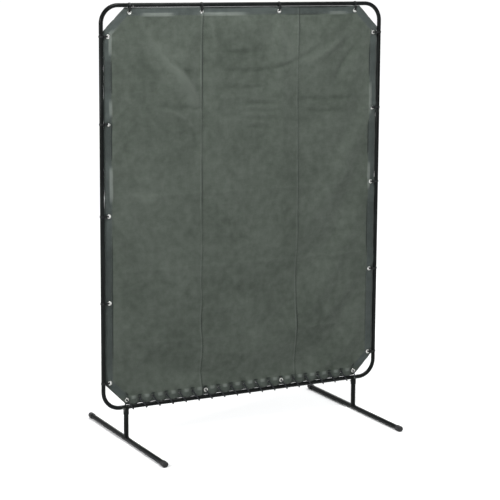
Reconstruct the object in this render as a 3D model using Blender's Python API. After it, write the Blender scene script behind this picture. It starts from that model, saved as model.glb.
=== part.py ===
"""A free-standing welding curtain screen: a round-tube frame on two swivelling T legs, with a canvas
curtain tied to three sides through grommets and laced to the bottom rail.

Metres, +Z up. The screen stands in the plane y = 0, with +X to its right seen from the front (-Y), and
the origin is on the floor under its middle. Each T leg turns about the vertical axis of its riser.
"""

from math import acos, atan2, ceil, cos, hypot, pi, sin

import bmesh
import bpy
from mathutils import Matrix, Vector

FIT = 0.0003  # gap left between neighbouring pieces
MERGE = 0.00001
SHARP = pi / 5  # edges turning more than this are shaded sharp

# Frame, over the outside of its tube
FRAME_WIDTH = 1.441
FRAME_HEIGHT = 1.829
TUBE_OD = 0.01905
TUBE_WALL = 0.0012
CORNER_RADIUS = 0.080  # centre line of a corner bend
CORNER_LEG = 0.045  # straight end of a corner bend
SPIGOT_LENGTH = 0.035  # swaged end of a straight tube, inside a corner bend

# T legs
LEG_OD = 0.0222
LEG_WALL = 0.0015
LEG_INSET = 0.110  # riser axis to the side tube's centre line
RAIL_DROP = 0.148  # bottom rail's centre line down to the foot tube's
FOOT_LENGTH = 0.864  # over the end caps
CAP_WALL = 0.0023
CAP_LENGTH = 0.032
CAP_END = 0.004
CAP_BEVEL = 0.0012  # small bevel inside the end's larger one
CAP_SOLE = 0.0014  # foot tube's underside down to the flat under a cap

# Leg sockets, each welded under the bottom rail
SOCKET_WALL = 0.0013
SOCKET_DROP = 0.034  # socket's lower end below the rail's centre line
SOCKET_EAR = 0.004  # top of the socket's saddle below the rail's centre line
SOCKET_PLAY = 0.0003
RISER_HEADROOM = 0.0015  # riser's top below the rail's underside
SCREW_DROP = 0.024  # clamp screw below the rail's centre line
SCREW_OD = 0.006
HEX_ACROSS = 0.010
NUT_THICKNESS = 0.005
HEAD_THICKNESS = 0.004

# Curtain
CURTAIN_THICKNESS = 0.003
CURTAIN_GAP = 0.002  # frame tube to the curtain's edge
CORNER_CUT = 0.100  # each clipped corner, along the curtain's edges
GROMMET_SET = 0.032  # grommet centre to the tube's centre line
TOP_INSET = 0.135  # end grommets of the top edge to the side tube's centre line
SIDE_TOP_INSET = 0.136  # highest side grommets to the top rail's centre line
SIDE_BOTTOM_INSET = 0.120  # lowest side grommets to the bottom rail's centre line
LACING_CLEAR = 0.003  # first laced grommet beyond the riser axis
TOP_SHARES = (0.0, 0.305, 0.648, 1.0)  # hand-set grommets along each edge, between its end ones
LEFT_SHARES = (0.0, 0.236, 0.489, 0.753, 1.0)
RIGHT_SHARES = (0.0, 0.266, 0.540, 0.770, 1.0)

# Grommets
GROMMET_OD = 0.020
GROMMET_BORE = 0.0095
GROMMET_NECK = 0.0008
FLANGE_RISE = 0.0012

# Ties
TIE_PLAY = 0.0019  # grommet's bore over the tie's width
TIE_THICKNESS = 0.0016
TIE_TURN = 0.005  # radius of a tie's turn through the grommet
TIE_HEAD_LENGTH = 0.011
TIE_HEAD_WIDTH = 0.012
TIE_HEAD_HEIGHT = 0.006

# Lacing
CORD_OD = 0.006
LACING_TURNS = 18
GROMMET_EVERY = 6  # every sixth hole of the laced edge is a grommet
EYELET_PLAY = 0.0025  # eyelet's bore over the cord
TAIL_LENGTH = 0.036

# How finely round shapes are cut
ROUND = 16
BEND_STEPS = 6
SCREW_ROUND = 12
SMALL_ROUND = 10
EYELET_ROUND = 8
TURN_POINTS = 5
WRAP_STEP = pi / 6  # most that a band or cord turns from one of its points to the next round a tube

TUBE_R = TUBE_OD / 2
LEG_R = LEG_OD / 2
CORD_R = CORD_OD / 2
SOCKET_R = LEG_R + SOCKET_PLAY + SOCKET_WALL
CAP_R = LEG_R + CAP_WALL
TIE_WIDTH = GROMMET_BORE - TIE_PLAY
HALF_WIDTH = (FRAME_WIDTH - TUBE_OD) / 2  # to the side tubes' centre lines
FOOT_Z = LEG_R + CAP_SOLE
RAIL_Z = FOOT_Z + RAIL_DROP
TOP_Z = RAIL_Z + FRAME_HEIGHT - TUBE_OD
SIDES = {"left": -1, "right": 1}


def material(name, colour, roughness, metallic=0.0):
    made = bpy.data.materials.new(name)
    made.use_nodes = True
    shader = made.node_tree.nodes["Principled BSDF"]
    shader.inputs["Base Color"].default_value = (*colour, 1.0)
    shader.inputs["Roughness"].default_value = roughness
    shader.inputs["Metallic"].default_value = metallic
    return made


def mesh_from(name, bm):
    """Closes off a bmesh as a mesh, its faces outward and its round sides smooth."""
    bmesh.ops.recalc_face_normals(bm, faces=bm.faces)
    mesh = bpy.data.meshes.new(name)
    bm.to_mesh(mesh)
    bm.free()
    mesh.shade_smooth()
    mesh.set_sharp_from_angle(angle=SHARP)
    return mesh


def add(name, mesh, finish, place=Matrix(), parent=None):
    piece = bpy.data.objects.new(name, mesh)
    bpy.context.collection.objects.link(piece)
    if not mesh.materials:
        mesh.materials.append(finish)
    piece.parent = parent
    piece.matrix_local = place
    return piece


def cut(piece, cutter_mesh, place):
    """Takes the cutter's shape out of the piece."""
    cutter = bpy.data.objects.new(piece.name + "_cutter", cutter_mesh)
    bpy.context.collection.objects.link(cutter)
    cutter.hide_render = True
    cutter.display_type = "WIRE"
    cutter.parent = piece.parent
    cutter.matrix_local = place
    modifier = piece.modifiers.new("cut", "BOOLEAN")
    modifier.operation = "DIFFERENCE"
    modifier.solver = "EXACT"
    modifier.object = cutter


def at(x, y, z, turn_x=0.0, turn_y=0.0, turn_z=0.0):
    place = Matrix.Translation((x, y, z))
    for angle, axis in ((turn_z, "Z"), (turn_y, "Y"), (turn_x, "X")):
        place @= Matrix.Rotation(angle, 4, axis)
    return place


def turned(profile, segments=ROUND):
    """A solid turned about local Z from (radius, height) points: a closed outline, or axis to axis."""
    bm = bmesh.new()
    points = [bm.verts.new((radius, 0.0, height)) for radius, height in profile]
    closed = all(radius > 0 for radius, _ in profile)
    ends = points[1:] + points[:1] if closed else points[1:]
    edges = [bm.edges.new(pair) for pair in zip(points, ends)]
    bmesh.ops.spin(bm, geom=points + edges, cent=(0, 0, 0), axis=(0, 0, 1), angle=2 * pi,
                   steps=segments, use_merge=True)
    bmesh.ops.remove_doubles(bm, verts=bm.verts, dist=MERGE)
    return bm


def pipe(outer, bore, low, high, segments=ROUND):
    return turned([(outer, low), (outer, high), (bore, high), (bore, low)], segments)


def rod(radius, low, high, segments=ROUND):
    return turned([(0, low), (radius, low), (radius, high), (0, high)], segments)


def faces_in(geometry):
    return [element for element in geometry if isinstance(element, bmesh.types.BMFace)]


def pulled(bm, faces, way):
    """Extrudes the faces along way, leaving them behind as the start cap, and returns the moved ones."""
    made = bmesh.ops.extrude_face_region(bm, geom=faces)["geom"]
    bmesh.ops.translate(bm, verts=[e for e in made if isinstance(e, bmesh.types.BMVert)], vec=way)
    return faces_in(made)


# Frame


def straight_tube(length):
    """Along local Z, its two swaged ends included beyond length."""
    shoulder, tip = length / 2, length / 2 + SPIGOT_LENGTH
    bore = TUBE_R - TUBE_WALL
    spigot = bore - FIT
    narrow, inner_shoulder = spigot - TUBE_WALL, shoulder - TUBE_WALL
    outside = [(spigot, -tip), (spigot, -shoulder), (TUBE_R, -shoulder)]
    inside = [(narrow, -tip), (narrow, -inner_shoulder), (bore, -inner_shoulder)]
    outside += [(radius, -height) for radius, height in reversed(outside)]
    inside += [(radius, -height) for radius, height in reversed(inside)]
    return turned(outside + inside[::-1])


def corner_bend():
    """The top left bend about its own centre: in along -X at the top, round, and out along -Z."""
    bm = bmesh.new()
    start = Matrix.Translation((CORNER_LEG, 0, CORNER_RADIUS)) @ Matrix.Rotation(pi / 2, 4, "Y")
    for radius in (TUBE_R, TUBE_R - TUBE_WALL):
        bmesh.ops.create_circle(bm, segments=ROUND, radius=radius, matrix=start)
    mouth = bmesh.ops.bridge_loops(bm, edges=bm.edges[:])["faces"]
    before = pulled(bm, mouth, Vector((-CORNER_LEG, 0, 0)))
    bent = bmesh.ops.spin(bm, geom=before, cent=(0, 0, 0), axis=(0, 1, 0), angle=-pi / 2, steps=BEND_STEPS)
    after = faces_in(bent["geom_last"])
    pulled(bm, after, Vector((0, 0, -CORNER_LEG)))
    bmesh.ops.delete(bm, geom=before + after, context="FACES_ONLY")
    return bm


def frame(paint):
    reach = 2 * (CORNER_RADIUS + CORNER_LEG + FIT)
    rail = mesh_from("rail", straight_tube(2 * HALF_WIDTH - reach))
    add("top_rail", rail, paint, at(0, 0, TOP_Z, turn_y=pi / 2))
    add("bottom_rail", rail, paint, at(0, 0, RAIL_Z, turn_y=pi / 2))
    upright = mesh_from("side_tube", straight_tube(TOP_Z - RAIL_Z - reach))
    for side, sign in SIDES.items():
        add(side + "_side_tube", upright, paint, at(sign * HALF_WIDTH, 0, (RAIL_Z + TOP_Z) / 2))
    bend = mesh_from("corner_bend", corner_bend())
    x, low, high = HALF_WIDTH - CORNER_RADIUS, RAIL_Z + CORNER_RADIUS, TOP_Z - CORNER_RADIUS
    add("corner_top_left", bend, paint, at(-x, 0, high))
    add("corner_top_right", bend, paint, at(x, 0, high, turn_y=pi / 2))
    add("corner_bottom_right", bend, paint, at(x, 0, low, turn_y=pi))
    add("corner_bottom_left", bend, paint, at(-x, 0, low, turn_y=-pi / 2))


# Legs


def foot_cap():
    """Slipped on along local Z, closed at its outer end, with a flat underneath at -Y."""
    bore, end, floor = LEG_R + FIT, CAP_LENGTH, CAP_LENGTH - CAP_END
    profile = [(0, end), (CAP_R - CAP_END, end), (CAP_R - CAP_BEVEL, end - CAP_BEVEL), (CAP_R, floor)]
    profile += [(CAP_R, 0), (bore, 0), (bore, floor), (0, floor)]
    bm = turned(profile)
    everything = bm.verts[:] + bm.edges[:] + bm.faces[:]
    bmesh.ops.bisect_plane(bm, geom=everything, plane_co=(0, -FOOT_Z, 0), plane_no=(0, -1, 0),
                           clear_outer=True)
    bmesh.ops.holes_fill(bm, edges=[edge for edge in bm.edges if edge.is_boundary])
    return bm


def clamp_screw():
    """Along local Z from its tip, just off the riser, to its head."""
    tip, seat = LEG_R + FIT, SOCKET_R + 2 * FIT + NUT_THICKNESS + FIT
    shank, head, end = SCREW_OD / 2, HEX_ACROSS / 2, seat + HEAD_THICKNESS
    return turned([(0, tip), (shank, tip), (shank, seat), (head, seat), (head, end), (0, end)], SCREW_ROUND)


def leg_socket(side, x, paint, steel):
    sleeve = pipe(SOCKET_R, LEG_R + SOCKET_PLAY, -SOCKET_DROP, -SOCKET_EAR)
    socket = add(side + "_leg_socket", mesh_from("leg_socket", sleeve), paint, at(x, 0, RAIL_Z))
    saddle = rod(TUBE_R + FIT, -LEG_OD, LEG_OD)
    cut(socket, mesh_from("saddle", saddle), at(x, 0, RAIL_Z, turn_y=pi / 2))
    nut_face = SOCKET_R + 2 * FIT
    behind = at(x, 0, RAIL_Z - SCREW_DROP, turn_x=-pi / 2)
    screw_hole = rod(SCREW_OD / 2 + FIT, LEG_R / 2, nut_face + 2 * NUT_THICKNESS, SCREW_ROUND)
    screw_hole = mesh_from("screw_hole", screw_hole)
    cut(socket, screw_hole, behind)
    hexagon = rod(HEX_ACROSS / 2 / cos(pi / 6), nut_face, nut_face + NUT_THICKNESS, 6)
    nut = add(side + "_socket_nut", mesh_from("socket_nut", hexagon), paint, behind)
    cut(nut, screw_hole, behind)
    add(side + "_clamp_screw", mesh_from("clamp_screw", clamp_screw()), steel, behind)


def leg(side, x, paint, rubber):
    """A riser standing on the middle of a foot tube, all turning about the riser's axis."""
    swivel = bpy.data.objects.new(side + "_leg_swivel", None)
    bpy.context.collection.objects.link(swivel)
    swivel.location = (x, 0, FOOT_Z)
    riser_top = RAIL_DROP - TUBE_R - RISER_HEADROOM
    riser_tube = mesh_from("leg_riser", pipe(LEG_R, LEG_R - LEG_WALL, 0, riser_top))
    riser = add(side + "_leg_riser", riser_tube, paint, parent=swivel)
    saddle = rod(LEG_R + FIT, -LEG_OD, LEG_OD, 2 * ROUND)
    cut(riser, mesh_from("saddle", saddle), at(0, 0, 0, turn_x=pi / 2))
    half = FOOT_LENGTH / 2 - CAP_END - FIT
    tube = mesh_from("foot_tube", pipe(LEG_R, LEG_R - LEG_WALL, -half, half))
    add(side + "_foot_tube", tube, paint, at(0, 0, 0, turn_x=pi / 2), swivel)
    cap = mesh_from("foot_cap", foot_cap())
    start = FOOT_LENGTH / 2 - CAP_LENGTH
    add(side + "_front_foot_cap", cap, rubber, at(0, -start, 0, turn_x=pi / 2), swivel)
    add(side + "_rear_foot_cap", cap, rubber, at(0, start, 0, turn_x=pi / 2, turn_z=pi), swivel)


# Curtain and what holds it


def between(first, last, shares):
    return [first + (last - first) * share for share in shares]


def laced_holes():
    """Where the lacing passes through the curtain, along X."""
    end = HALF_WIDTH - LEG_INSET - LACING_CLEAR
    return between(-end, end, [hole / LACING_TURNS for hole in range(LACING_TURNS + 1)])


def grommet_places():
    """Edge name to the (x, z) of its grommets."""
    across = HALF_WIDTH - TOP_INSET
    low, high = RAIL_Z + SIDE_BOTTOM_INSET, TOP_Z - SIDE_TOP_INSET
    side = HALF_WIDTH - GROMMET_SET
    return {
        "top": [(x, TOP_Z - GROMMET_SET) for x in between(-across, across, TOP_SHARES)],
        "left": [(-side, z) for z in between(low, high, LEFT_SHARES)],
        "right": [(side, z) for z in between(low, high, RIGHT_SHARES)],
        "bottom": [(x, RAIL_Z + GROMMET_SET) for x in laced_holes()[::GROMMET_EVERY]],
    }


def ring(bm, x, z, radius, segments):
    """A closed loop of edges in the plane y = 0."""
    angles = [2 * pi * step / segments for step in range(segments)]
    return loop(bm, [(x + radius * cos(a), z + radius * sin(a)) for a in angles])


def loop(bm, outline):
    points = [bm.verts.new((x, 0.0, z)) for x, z in outline]
    return [bm.edges.new(pair) for pair in zip(points, points[1:] + points[:1])]


def clipped_outline():
    """The curtain's eight corners."""
    x = HALF_WIDTH - TUBE_R - CURTAIN_GAP
    low, high = RAIL_Z + TUBE_R + CURTAIN_GAP, TOP_Z - TUBE_R - CURTAIN_GAP
    right = [(x - CORNER_CUT, low), (x, low + CORNER_CUT), (x, high - CORNER_CUT), (x - CORNER_CUT, high)]
    return right + [(-across, up) for across, up in reversed(right)]


def curtain():
    bm = bmesh.new()
    edges = loop(bm, clipped_outline())
    neck = GROMMET_BORE / 2 + GROMMET_NECK + FIT
    for places in grommet_places().values():
        for x, z in places:
            edges += ring(bm, x, z, neck, SMALL_ROUND)
    for index, x in enumerate(laced_holes()):
        if index % GROMMET_EVERY:
            edges += ring(bm, x, RAIL_Z + GROMMET_SET, (CORD_OD + EYELET_PLAY) / 2, EYELET_ROUND)
    sheet = bmesh.ops.triangle_fill(bm, edges=edges, use_beauty=True)["geom"]
    bmesh.ops.translate(bm, verts=bm.verts, vec=(0, -CURTAIN_THICKNESS / 2, 0))
    pulled(bm, faces_in(sheet), Vector((0, CURTAIN_THICKNESS, 0)))
    return bm


def grommet():
    """Turned about local Z, with a flange on each face of the curtain."""
    bore, edge = GROMMET_BORE / 2, GROMMET_OD / 2
    neck, face = bore + GROMMET_NECK, CURTAIN_THICKNESS / 2 + FIT
    crown = face + FLANGE_RISE
    half = [(neck, face), (edge, face), ((bore + edge) / 2, crown), (bore, crown - GROMMET_NECK / 2)]
    return turned(half + [(radius, -height) for radius, height in reversed(half)], SMALL_ROUND)


def round_tube(band):
    """How far out the middle of a band this thick lies, at points WRAP_STEP apart, to clear the tube."""
    return (TUBE_R + FIT) / cos(WRAP_STEP / 2) + band / 2


def wrap_angles(lean):
    """Evenly round the tube's far side, from lean to the same angle short of a full turn."""
    span = 2 * pi - 2 * lean
    steps = ceil(span / WRAP_STEP)
    return [lean + span * step / steps for step in range(steps + 1)]


def tie_stations():
    """A tie's closed route in its own plane, the tube's axis at the origin and the grommet out along +X.

    Each station is (x, y, outward angle, whether it is part of the head).
    """
    wrap = round_tube(TIE_THICKNESS)
    far = GROMMET_SET - TIE_TURN
    lean = acos((wrap - TIE_TURN) / far)
    stations = [(wrap * cos(angle), wrap * sin(angle), angle, False) for angle in wrap_angles(lean)]
    turn = []
    for number in range(TURN_POINTS):
        angle = -lean + 2 * lean * number / (TURN_POINTS - 1)
        turn.append((far + TIE_TURN * cos(angle), TIE_TURN * sin(angle), angle, False))
    leave, enter = Vector(stations[-1][:2]), Vector(turn[0][:2])
    along = (enter - leave).normalized()
    middle = (leave + enter) / 2
    for offset, head in ((-0.5, False), (-0.5, True), (0.5, True), (0.5, False)):
        x, y = middle + along * offset * TIE_HEAD_LENGTH
        stations.append((x, y, -lean, head))
    return stations + turn


def tie():
    """A flat band round the tube and through the grommet, with its head between them at the front."""
    bm = bmesh.new()
    rings = []
    for x, y, angle, head in tie_stations():
        width = TIE_HEAD_WIDTH if head else TIE_WIDTH
        inner = -TIE_THICKNESS / 2 - (FIT if head else 0)
        outer = inner + TIE_HEAD_HEIGHT if head else TIE_THICKNESS / 2
        corners = [(inner, -width / 2), (outer, -width / 2), (outer, width / 2), (inner, width / 2)]
        across, up = cos(angle), sin(angle)
        rings.append([bm.verts.new((x + out * across, y + out * up, z)) for out, z in corners])
    for here, there in zip(rings, rings[1:] + rings[:1]):
        for corner in range(4):
            following = (corner + 1) % 4
            bm.faces.new((here[corner], here[following], there[following], there[corner]))
    return bm


def one_turn():
    """One turn of the lacing as (height above the rail's centre, y): down in front, under, up behind."""
    wrap = round_tube(CORD_OD)
    off = CURTAIN_THICKNESS / 2 + FIT + FLANGE_RISE + CORD_R + FIT
    lean = atan2(off, GROMMET_SET) + acos(wrap / hypot(off, GROMMET_SET))
    under = [(wrap * cos(angle), -wrap * sin(angle)) for angle in wrap_angles(lean)]
    return [(GROMMET_SET, -off)] + under + [(GROMMET_SET, off)]


def tail(x, side):
    """The cord's end, hanging from a corner grommet past the rail, on the front (-1) or the back (1)."""
    off = SOCKET_R + CORD_R + 2 * FIT
    top = one_turn()[-1][1]
    drops = ((0.25, 0.35), (0.55, 0.9), (0.8, 1.0), (1.0, 1.0))
    return [(x, side * (top + (off - top) * out), GROMMET_SET - TAIL_LENGTH * down) for down, out in drops]


def lacing_points():
    holes = laced_holes()
    turn = one_turn()
    lengths = [hypot(b[0] - a[0], b[1] - a[1]) for a, b in zip(turn, turn[1:])]
    shares = [sum(lengths[:index]) / sum(lengths) for index in range(len(turn))]
    points = [(holes[0], y, z) for _, y, z in reversed(tail(holes[0], 1))]
    points.append((holes[0], turn[-1][1], GROMMET_SET))
    for here, there in zip(holes, holes[1:]):
        points += [(here + (there - here) * share, y, up) for share, (up, y) in zip(shares, turn)]
    points.append((holes[-1], turn[0][1], GROMMET_SET))
    points += tail(holes[-1], -1)
    return [Vector((x, y, RAIL_Z + up)) for x, y, up in points]


def lacing(finish):
    curve = bpy.data.curves.new("lacing_cord", "CURVE")
    curve.dimensions = "3D"
    curve.bevel_depth = CORD_R
    curve.bevel_resolution = 2
    curve.use_fill_caps = True
    points = lacing_points()
    spline = curve.splines.new("POLY")
    spline.points.add(len(points) - 1)
    for knot, point in zip(spline.points, points):
        knot.co = (*point, 1.0)
    add("lacing_cord", curve, finish)


def fastenings(metal, nylon):
    """A grommet at each place, and a tie at each but the laced ones."""
    ring_mesh = mesh_from("grommet", grommet())
    tie_mesh = mesh_from("tie", tie())
    inward = {"top": pi / 2, "left": 0.0, "right": pi}
    for edge, places in grommet_places().items():
        for number, (x, z) in enumerate(places, 1):
            add(f"grommet_{edge}_{number}", ring_mesh, metal, at(x, 0, z, turn_x=pi / 2))
            if edge in inward:
                turn = inward[edge]
                back = at(0, 0, 0, turn_y=turn) @ Vector((-GROMMET_SET, 0, 0))
                add(f"tie_{edge}_{number}", tie_mesh, nylon, at(x + back.x, 0, z + back.z, turn_y=turn))


def build():
    for old in bpy.data.objects[:]:
        bpy.data.objects.remove(old)
    paint = material("black_paint", (0.012, 0.014, 0.013), 0.42)
    steel = material("zinc_steel", (0.52, 0.52, 0.50), 0.35, 1.0)
    rubber = material("black_rubber", (0.010, 0.010, 0.010), 0.75)
    canvas = material("canvas", (0.088, 0.104, 0.089), 0.9)
    nickel = material("nickel", (0.66, 0.67, 0.64), 0.3, 1.0)
    nylon = material("black_nylon", (0.010, 0.011, 0.011), 0.5)
    cord = material("dark_cord", (0.016, 0.018, 0.020), 0.85)
    frame(paint)
    for side, sign in SIDES.items():
        x = sign * (HALF_WIDTH - LEG_INSET)
        leg_socket(side, x, paint, steel)
        leg(side, x, paint, rubber)
    add("curtain", mesh_from("curtain", curtain()), canvas)
    fastenings(nickel, nylon)
    lacing(cord)


build()
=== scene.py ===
"""Looks of the free-standing welding screen: fine tube work, canvas curtain, grommets, ties and lacing.

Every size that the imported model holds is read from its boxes. Front is -Y, and +X is to the right.
"""

from math import acos, atan2, ceil, cos, hypot, pi, radians, sin

import bmesh
import bpy
import numpy as np
from mathutils import Matrix, Vector, noise


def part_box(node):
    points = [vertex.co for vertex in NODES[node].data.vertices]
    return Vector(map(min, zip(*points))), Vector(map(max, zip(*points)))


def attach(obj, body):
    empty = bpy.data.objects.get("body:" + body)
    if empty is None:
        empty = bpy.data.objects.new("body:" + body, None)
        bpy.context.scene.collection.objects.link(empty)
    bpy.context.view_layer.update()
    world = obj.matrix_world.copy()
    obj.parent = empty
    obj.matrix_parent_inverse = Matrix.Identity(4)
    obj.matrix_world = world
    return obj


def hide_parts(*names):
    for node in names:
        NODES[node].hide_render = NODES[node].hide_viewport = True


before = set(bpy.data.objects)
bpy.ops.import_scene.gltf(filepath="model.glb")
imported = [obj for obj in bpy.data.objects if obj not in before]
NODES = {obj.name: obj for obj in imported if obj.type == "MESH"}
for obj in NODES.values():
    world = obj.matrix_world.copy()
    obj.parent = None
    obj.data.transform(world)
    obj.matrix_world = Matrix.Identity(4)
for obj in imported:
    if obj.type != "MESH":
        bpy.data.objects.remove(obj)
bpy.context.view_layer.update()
SIDES = {"left": -1, "right": 1}


def middle(node):
    low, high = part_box(node)
    return (low + high) / 2


def extent(node):
    low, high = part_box(node)
    return high - low


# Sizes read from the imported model
TUBE_R = extent("left_side_tube").y / 2
HALF_WIDTH = middle("right_side_tube").x
RAIL_Z, TOP_Z = middle("bottom_rail").z, middle("top_rail").z
LEG_R = extent("left_foot_tube").z / 2
FOOT_Z = middle("left_foot_tube").z
RISER_X = middle("right_leg_riser").x
SOCKET_R = extent("left_leg_socket").y / 2
CURTAIN_LOW, CURTAIN_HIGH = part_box("curtain")
GROMMET_SET = TOP_Z - middle("grommet_top_1").z

# Sizes that the boxes don't show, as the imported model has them
FIT = 0.0003
TUBE_WALL = 0.0012
CORNER_RADIUS = 0.080
CORNER_LEG = 0.045
SPIGOT_LENGTH = 0.035
LEG_WALL = 0.0015
CAP_WALL = 0.0023
CAP_LENGTH = 0.032
CAP_END = 0.004
SOCKET_PLAY = 0.0003
SOCKET_DROP = 0.034
SOCKET_EAR = 0.004
SCREW_DROP = 0.024
SCREW_OD = 0.006
HEX_ACROSS = 0.010
NUT_THICKNESS = 0.005
HEAD_THICKNESS = 0.004
CURTAIN_THICKNESS = 0.003
CORNER_CUT = 0.100
LACING_CLEAR = 0.003
GROMMET_OD = 0.020
GROMMET_BORE = 0.0095
FLANGE_RISE = 0.0012
TIE_WIDTH = 0.0076
TIE_THICKNESS = 0.0016
TIE_TURN = 0.005
TIE_HEAD = (0.011, 0.012, 0.006)
CORD_OD = 0.006
LACING_TURNS = 18
GROMMET_EVERY = 6
EYELET_BORE = 0.0085
TAIL_LENGTH = 0.036
WRAP_STEP = pi / 6

# Weld beads
SOCKET_BEAD_R = 0.0017
RISER_BEAD_R = 0.0023

# Fineness
ROUND = 48
BEAD_STEP = 0.0006
BEND_STEPS = 28
CHAMFER = 0.0005
SHARP = radians(35)

# Curtain
CORNER_CELLS = 14  # grid cells along a clipped corner's legs, which sets the grid's spacing
DRAPE_FRAMES = 40
CANVAS = 0.0011
HEM_WIDTH = 0.035
HEM_THICKNESS = 0.0026
SEAMS = (-0.219, 0.276)  # where the three panels join
SEAM_WIDTH = 0.013
SEAM_LUMP = 0.0009  # how much thicker the sheet is along a seam
TAUT_MARGIN = 0.20  # nearer the edge than this, the cloth hangs straighter than inside
TAUT = (0.0, 0.15, 0.0)  # share of its give that is left at the edge: across, out and up
HEM_REACH = 0.0013  # the hem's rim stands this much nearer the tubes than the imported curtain's
LACED_HOLE_R = EYELET_BORE / 2 + 0.0004
TIED_HOLE_R = GROMMET_BORE / 2 + 0.0006
HOLE_PULL = 0.030  # how far from a hole the grid is drawn towards it
YARN_PITCH = 0.0011
STITCH_PITCH = 0.0064
STITCH_LENGTH = 0.0049
THREAD_R = 0.00042


# Camera, floor and lights

WORLD_LIGHT = 0.50  # strength of the even light from all round
WORLD_PAPER = 1.05  # strength of the background that the camera sees


def camera():
    data = bpy.data.cameras.new("camera")
    data.lens = 115.39
    data.sensor_width = 36.0
    data.shift_y = -0.10
    view = bpy.data.objects.new("camera", data)
    bpy.context.scene.collection.objects.link(view)
    view.location = (-3.370, -6.507, 2.168)
    heading, down, roll = radians(27.56), radians(8.51), radians(0.37)
    turn = Matrix.Rotation(-heading, 3, "Z") @ Matrix.Rotation(pi / 2 - down, 3, "X")
    view.rotation_euler = (turn @ Matrix.Rotation(roll, 3, "Z")).to_euler()
    bpy.context.scene.camera = view


def lamp(name, kind, power, aim, place=(0, 0, 0)):
    data = bpy.data.lights.new(name, kind)
    data.energy = power
    made = bpy.data.objects.new(name, data)
    bpy.context.scene.collection.objects.link(made)
    made.location = place
    made.rotation_euler = Vector(aim).to_track_quat("-Z", "Y").to_euler()
    return data


def area_light(name, place, target, size, power):
    data = lamp(name, "AREA", power, Vector(target) - Vector(place), place)
    data.size = size


def white_world():
    """Soft even light, seen by the camera as a plain white background."""
    world = bpy.data.worlds.new("studio")
    world.use_nodes = True
    tree = world.node_tree
    light = tree.nodes["Background"]
    light.inputs["Color"].default_value = (0.97, 0.985, 1.0, 1.0)
    light.inputs["Strength"].default_value = WORLD_LIGHT
    paper = tree.nodes.new("ShaderNodeBackground")
    paper.inputs["Color"].default_value = (1.0, 1.0, 1.0, 1.0)
    paper.inputs["Strength"].default_value = WORLD_PAPER
    seen = tree.nodes.new("ShaderNodeLightPath")
    choice = tree.nodes.new("ShaderNodeMixShader")
    tree.links.new(seen.outputs["Is Camera Ray"], choice.inputs[0])
    tree.links.new(light.outputs[0], choice.inputs[1])
    tree.links.new(paper.outputs[0], choice.inputs[2])
    tree.links.new(choice.outputs[0], tree.nodes["World Output"].inputs["Surface"])
    bpy.context.scene.world = world


def studio():
    scene = bpy.context.scene
    scene.view_settings.view_transform = "Standard"
    white_world()
    area_light("key", (-3.8, -1.25, 2.5), (0, 0, 1.2), 0.5, 100)
    area_light("fill", (4.5, -4.0, 2.6), (0, 0, 1.0), 3.0, 3)
    area_light("top", (-0.1, -1.3, 3.9), (0, 0, 1.5), 0.6, 86)
    lamp("behind", "SUN", 2.7, (-0.35, -0.55, -0.75)).angle = radians(50)
    mesh = bpy.data.meshes.new("floor")
    reach = 40.0
    corners = [(x * reach, y * reach, 0) for x, y in ((-1, -1), (1, -1), (1, 1), (-1, 1))]
    mesh.from_pydata(corners, [], [(0, 1, 2, 3)])
    floor = bpy.data.objects.new("floor", mesh)
    scene.collection.objects.link(floor)
    pale = Material("pale_floor")
    pale.set(Base_Color=(0.94, 0.94, 0.94, 1), Roughness=0.9)
    mesh.materials.append(pale.material)


# Materials

# Canvas: dark and light cloth, single and doubled, then the painted shade of hollow pleats, the painted
# highlight of raised ones, and the painted highlight and shade of the seams
SINGLE_CLOTH = (0.035, 0.044, 0.0345), (0.071, 0.084, 0.0700)
DOUBLED_CLOTH = (0.029, 0.037, 0.034), (0.055, 0.066, 0.062)
# Painted shade for hollow pleats, and a painted highlight along the hem's fold for raised ones
PAINTED_HOLLOW_SHADE = (0.012, 0.016, 0.015)
PAINTED_FOLD_HIGHLIGHT = (0.135, 0.152, 0.137)
# Painted highlight on a seam's lap, and painted shade in its groove
SEAM_LAP_HIGHLIGHT = (0.105, 0.120, 0.104)
SEAM_GROOVE_SHADE = (0.014, 0.018, 0.015)


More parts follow.
